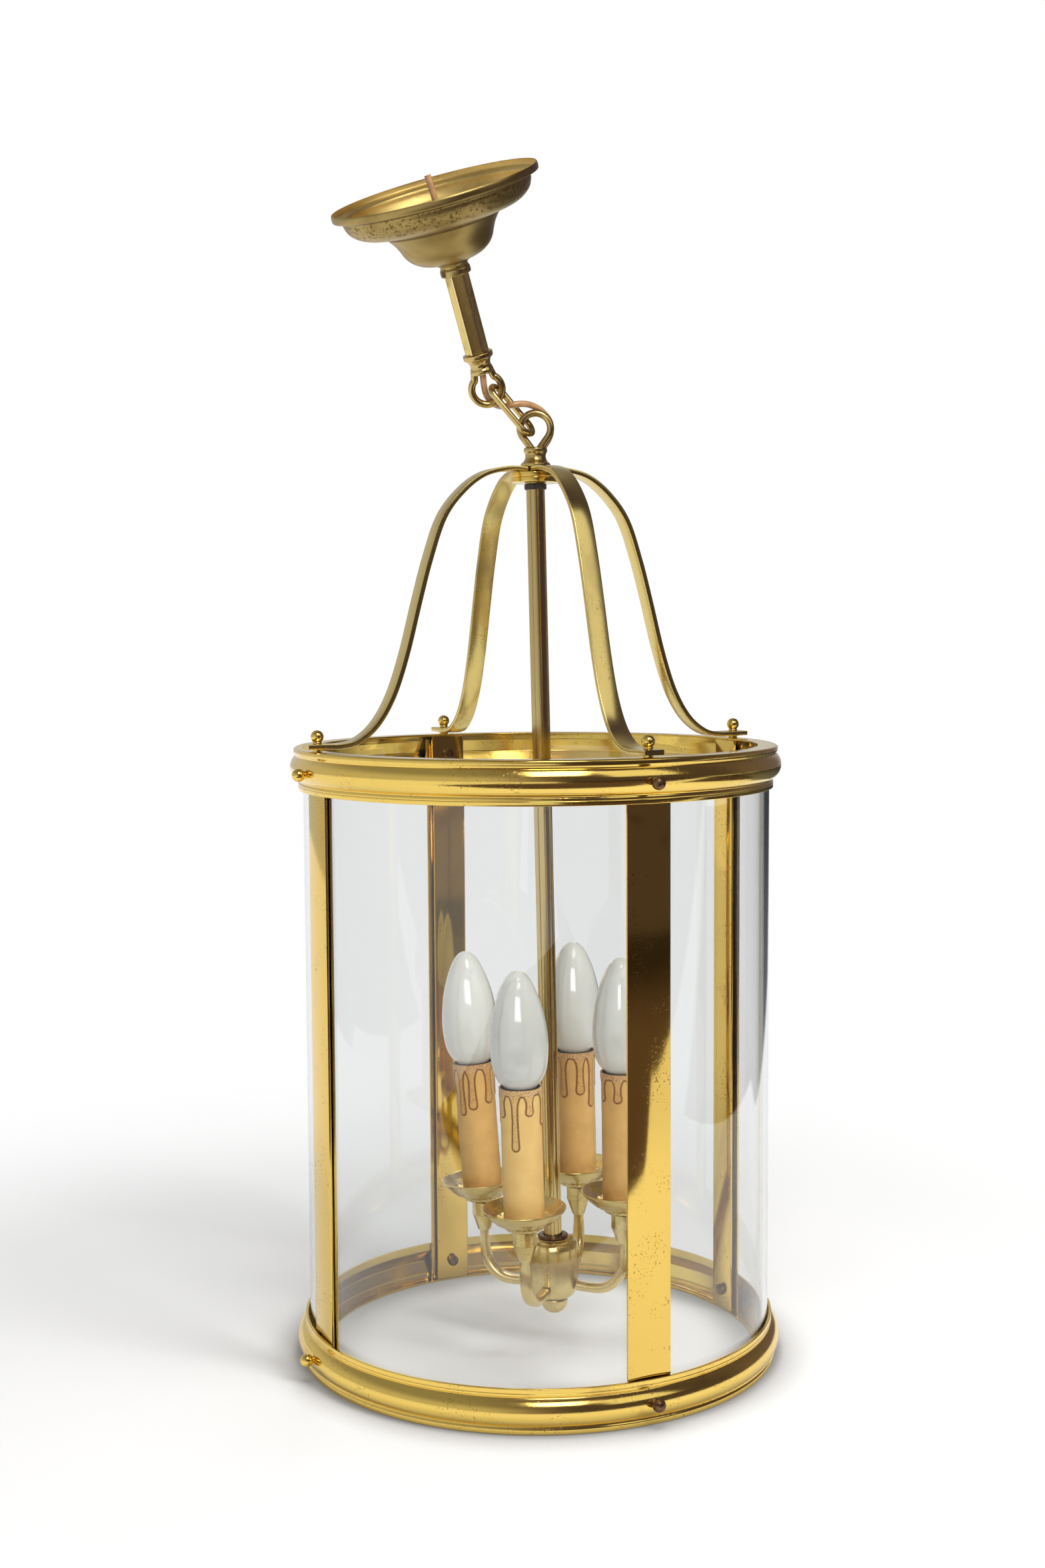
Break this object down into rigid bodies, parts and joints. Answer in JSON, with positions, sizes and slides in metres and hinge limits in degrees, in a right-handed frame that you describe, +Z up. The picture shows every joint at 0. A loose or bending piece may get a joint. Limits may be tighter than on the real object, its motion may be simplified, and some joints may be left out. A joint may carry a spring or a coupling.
{
  "type": "hanging candle lantern",
  "caption": "Cylindrical brass hall lantern with bent glass panels, moulded rings, a swept crown and a cluster of candle bulbs, hung by a chain link from a fluted stem and ceiling canopy.",
  "frame": {"origin": "bearing point inside the top of the hanging loop, on the axis of the stem", "axes": "+Z up; +X to the right and +Y away from the camera; the lantern stands upright under a slack, leaning stem"},
  "size_m": [0.3058, 0.3058, 0.7434],
  "materials": {
    "brass": "polished and lacquered, lightly patinated",
    "aged_brass": "tarnished, satin",
    "dark_steel": "blackened",
    "clear_glass": "clear, polished",
    "opal_glass": "opal, glossy",
    "wax_sleeve": "waxy card with drips",
    "black_plastic": "moulded, semi-gloss",
    "flex_sheath": "aged translucent sheath"
  },
  "bodies": {
    "stem": {"stem_tube": "aged_brass", "hanging_loop": "aged_brass", "stem_ring": "brass", "flex_tail": "flex_sheath", "flex_in_stem": "flex_sheath", "flex_upper": "flex_sheath"},
    "link": {"chain_link": "brass"},
    "canopy_unit": {"canopy": "aged_brass", "canopy_collar": "aged_brass", "collar_set_screw": "dark_steel"},
    "bulb_1": {"bulb_1": "opal_glass"},
    "bulb_2": {"bulb_2": "opal_glass"},
    "bulb_3": {"bulb_3": "opal_glass"},
    "bulb_4": {"bulb_4": "opal_glass"},
    "lantern": {"flex_lower": "flex_sheath", "flex_in_tube": "flex_sheath", "crown_ring": "brass", "hub_disc": "brass", "upper_ring": "brass", "lower_ring": "brass", "centre_tube": "brass", "cluster_body": "brass", "cluster_finial": "brass", "hub_nut": "black_plastic", "crown_arm_1": "brass", "outer_strip_1": "brass", "inner_strip_1": "brass", "foot_screw_1": "brass", "candle_arm_1": "brass", "drip_pan_1": "brass", "glass_panel_1": "clear_glass", "candle_sleeve_1": "wax_sleeve", "lampholder_1": "black_plastic", "crown_arm_2": "brass", "outer_strip_2": "brass", "inner_strip_2": "brass", "foot_screw_2": "brass", "candle_arm_2": "brass", "drip_pan_2": "brass", "glass_panel_2": "clear_glass", "candle_sleeve_2": "wax_sleeve", "lampholder_2": "black_plastic", "crown_arm_3": "brass", "outer_strip_3": "brass", "inner_strip_3": "brass", "foot_screw_3": "brass", "candle_arm_3": "brass", "drip_pan_3": "brass", "glass_panel_3": "clear_glass", "candle_sleeve_3": "wax_sleeve", "lampholder_3": "black_plastic", "crown_arm_4": "brass", "outer_strip_4": "brass", "inner_strip_4": "brass", "foot_screw_4": "brass", "candle_arm_4": "brass", "drip_pan_4": "brass", "glass_panel_4": "clear_glass", "candle_sleeve_4": "wax_sleeve", "lampholder_4": "black_plastic"}
  },
  "joints": [
    {"name": "link_swing", "type": "hinge", "parent": "stem", "child": "link", "pos_m": [0.02643, 0.03462, -0.10003], "axis": [-0.0811, 0.9483, 0.3068], "range_deg": [-30, 80], "deforming": ["flex_upper"]},
    {"name": "lantern_swing", "type": "hinge", "parent": "link", "child": "lantern", "pos_m": [0.05623, 0.03462, -0.12413], "axis": [-0.0811, 0.9483, 0.3068], "range_deg": [-30, 15], "deforming": ["flex_lower"]},
    {"name": "canopy_slide", "type": "slide", "parent": "stem", "child": "canopy_unit", "axis": [0.2422, 0.3173, -0.9169], "range_m": [0, 0.045]},
    {"name": "bulb_lift_1", "type": "slide", "parent": "lantern", "child": "bulb_1", "axis": [-0.0234, -0.013, 0.9996], "range_m": [0, 0.036]},
    {"name": "bulb_lift_2", "type": "slide", "parent": "lantern", "child": "bulb_2", "axis": [-0.0086, -0.0038, 1], "range_m": [0, 0.036]},
    {"name": "bulb_lift_3", "type": "slide", "parent": "lantern", "child": "bulb_3", "axis": [-0.0183, 0, 0.9998], "range_m": [0, 0.036]},
    {"name": "bulb_lift_4", "type": "slide", "parent": "lantern", "child": "bulb_4", "axis": [-0.0686, 0.0198, 0.9974], "range_m": [0, 0.036]}
  ]
}
